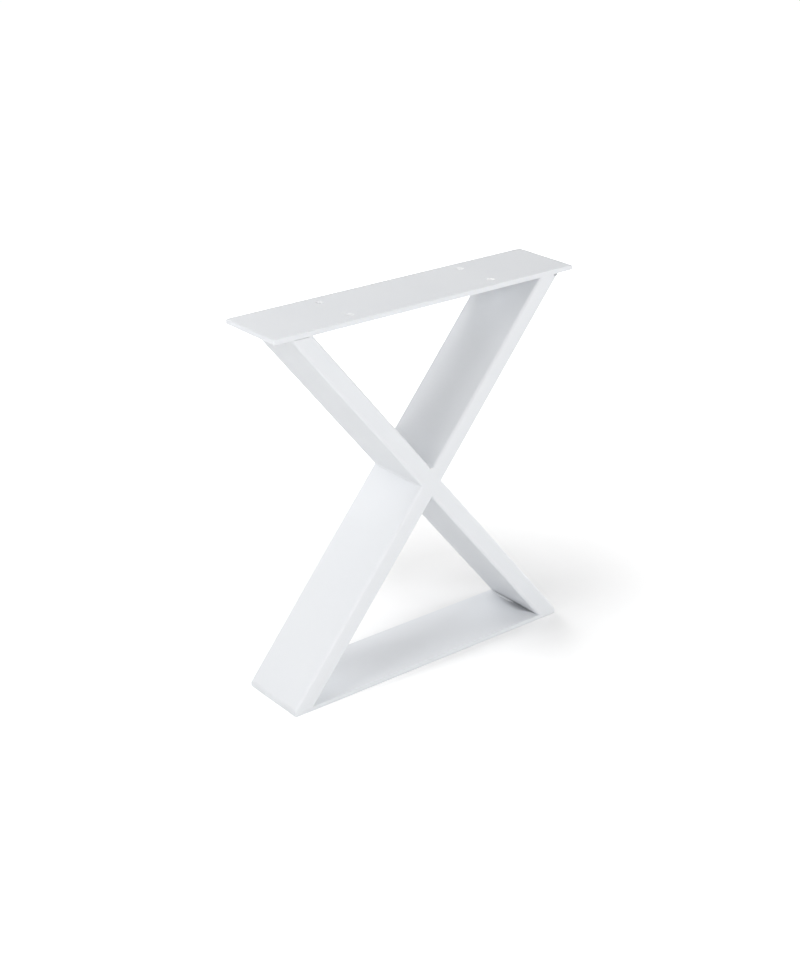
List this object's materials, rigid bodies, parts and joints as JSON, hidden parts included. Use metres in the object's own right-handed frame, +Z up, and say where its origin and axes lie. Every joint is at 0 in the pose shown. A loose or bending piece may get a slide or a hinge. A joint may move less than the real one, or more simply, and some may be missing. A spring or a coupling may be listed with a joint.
{
  "type": "x shaped table leg",
  "caption": "White powder-coated steel X table leg: crossed rectangular tube arms welded between a drilled top plate and a flat base plate; carries a low table or bench top.",
  "frame": {"origin": "on the floor, under the middle of the base plate", "axes": "+X along the plates, +Y from front to back through the depth of the tube, +Z up to the table top"},
  "size_m": [0.37, 0.08, 0.4],
  "materials": {
    "powder_coat": "satin white powder coat on steel",
    "coated_weld": "satin white powder coat over a weld bead"
  },
  "bodies": {
    "root": {"top_plate": "powder_coat", "base_plate": "powder_coat", "long_arm": "powder_coat", "upper_short_arm": "powder_coat", "lower_short_arm": "powder_coat", "upper_front_ground_weld": "powder_coat", "upper_back_ground_weld": "powder_coat", "lower_front_ground_weld": "powder_coat", "lower_back_ground_weld": "powder_coat", "crossing_top_weld": "coated_weld", "crossing_bottom_weld": "coated_weld", "crossing_left_weld": "coated_weld", "crossing_right_weld": "coated_weld", "top_left_outer_weld": "coated_weld", "top_left_inner_weld": "coated_weld", "top_right_outer_weld": "coated_weld", "top_right_inner_weld": "coated_weld", "base_left_weld": "coated_weld", "base_right_weld": "coated_weld", "left_toe_weld": "coated_weld", "right_toe_weld": "coated_weld"}
  },
  "joints": []
}
